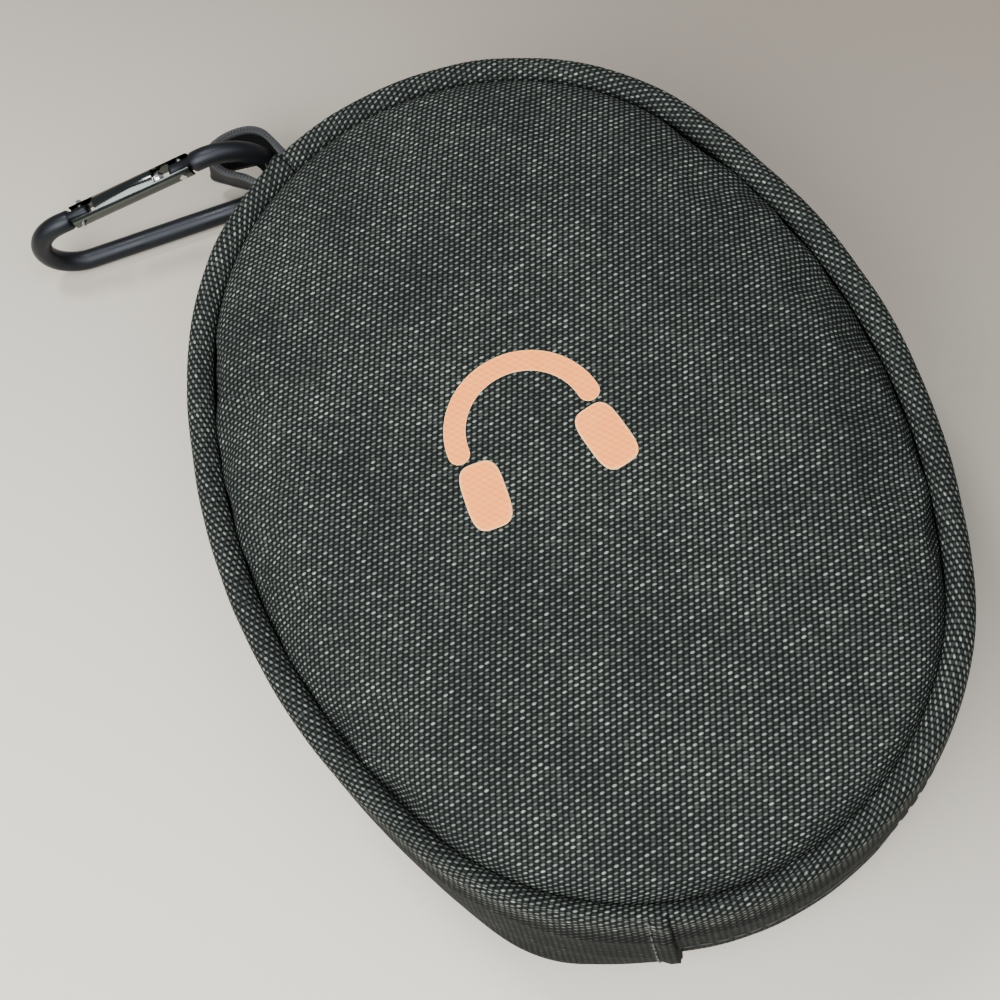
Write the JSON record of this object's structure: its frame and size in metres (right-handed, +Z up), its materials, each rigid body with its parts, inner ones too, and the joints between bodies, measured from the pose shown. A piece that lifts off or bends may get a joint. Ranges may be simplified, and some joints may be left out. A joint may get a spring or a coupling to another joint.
{
  "type": "headphone carrying case",
  "caption": "Oval soft-sided carrying case with padded domed faces, a zipped wall, a fabric spine, a ribbon hang loop and a snap hook",
  "frame": {"origin": "centre of the flat rest face on the back panel", "axes": "+Z up through the domed front panel, +Y along the long axis towards the hang loop, +X across towards the zipped side"},
  "size_m": [0.1448, 0.2009, 0.0536],
  "materials": {
    "woven_nylon": "plain-weave ballistic nylon, slight yarn sheen",
    "foam": "closed-cell foam",
    "lining": "brushed tricot",
    "zip_tape": "woven polyester tape",
    "binding": "folded polyester binding",
    "zip_coil": "nylon coil",
    "black_zinc": "black painted zinc die casting",
    "pull_rubber": "moulded soft rubber",
    "ribbon": "ribbed ribbon with a lighter selvedge",
    "black_aluminium": "satin black anodised",
    "polished_black_aluminium": "gloss black anodised",
    "steel": "bright",
    "peach_print": "heat-transferred film, satin"
  },
  "bodies": {
    "base": {"back_panel": "woven_nylon", "back_foam": "foam", "back_lining": "lining", "back_gusset": "woven_nylon", "back_zip_tape": "zip_tape", "back_zip_teeth": "zip_coil", "back_binding": "binding", "back_wall_lining": "lining", "spine": "woven_nylon", "spine_lining": "lining", "zip_top_stop": "black_zinc", "zip_bottom_stop": "black_zinc"},
    "lid": {"front_panel": "woven_nylon", "front_foam": "foam", "front_lining": "lining", "front_gusset": "woven_nylon", "front_zip_tape": "zip_tape", "front_zip_teeth": "zip_coil", "front_binding": "binding", "front_wall_lining": "lining", "printed_mark": "peach_print"},
    "slider": {"slider_body": "black_zinc"},
    "pull": {"pull_tab": "black_zinc", "pull_grip": "pull_rubber"},
    "loop": {"hang_loop": "ribbon"},
    "hook": {"hook_body": "black_aluminium", "gate_pivot_pin": "steel"},
    "gate": {"gate_tube": "polished_black_aluminium", "gate_latch_pin": "steel", "gate_plunger": "steel", "gate_spring": "steel"}
  },
  "joints": [
    {"name": "lid_open", "type": "hinge", "parent": "base", "child": "lid", "pos_m": [-0.02078, -0.00027, 0.022], "axis": [0.0084, -1, 0], "range_deg": [0, 38], "deforming": ["spine", "spine_lining"]},
    {"name": "zip_slide", "type": "hinge", "parent": "base", "child": "slider", "pos_m": [0, 0.0285, 0.022], "axis": [0, 0, -1], "range_deg": [0, 62]},
    {"name": "pull_swing", "type": "hinge", "parent": "slider", "child": "pull", "pos_m": [0.00211, 0.08886, 0.022], "axis": [0, 0, 1], "range_deg": [0, 120]},
    {"name": "loop_swing", "type": "hinge", "parent": "base", "child": "loop", "pos_m": [-0.02374, 0.08295, 0.0118], "axis": [0, 0, 1], "range_deg": [-12, 18]},
    {"name": "hook_turn", "type": "hinge", "parent": "loop", "child": "hook", "pos_m": [-0.02422, 0.10354, 0.0118], "axis": [0, 0, 1], "range_deg": [-60, 6]},
    {"name": "gate_open", "type": "hinge", "parent": "hook", "child": "gate", "pos_m": [-0.04157, 0.10619, 0.0239], "axis": [-0.1513, -0.9885, 0], "range_deg": [0, 28], "stiffness_Nm_per_rad": 0.02, "springref_deg": -20.05}
  ]
}
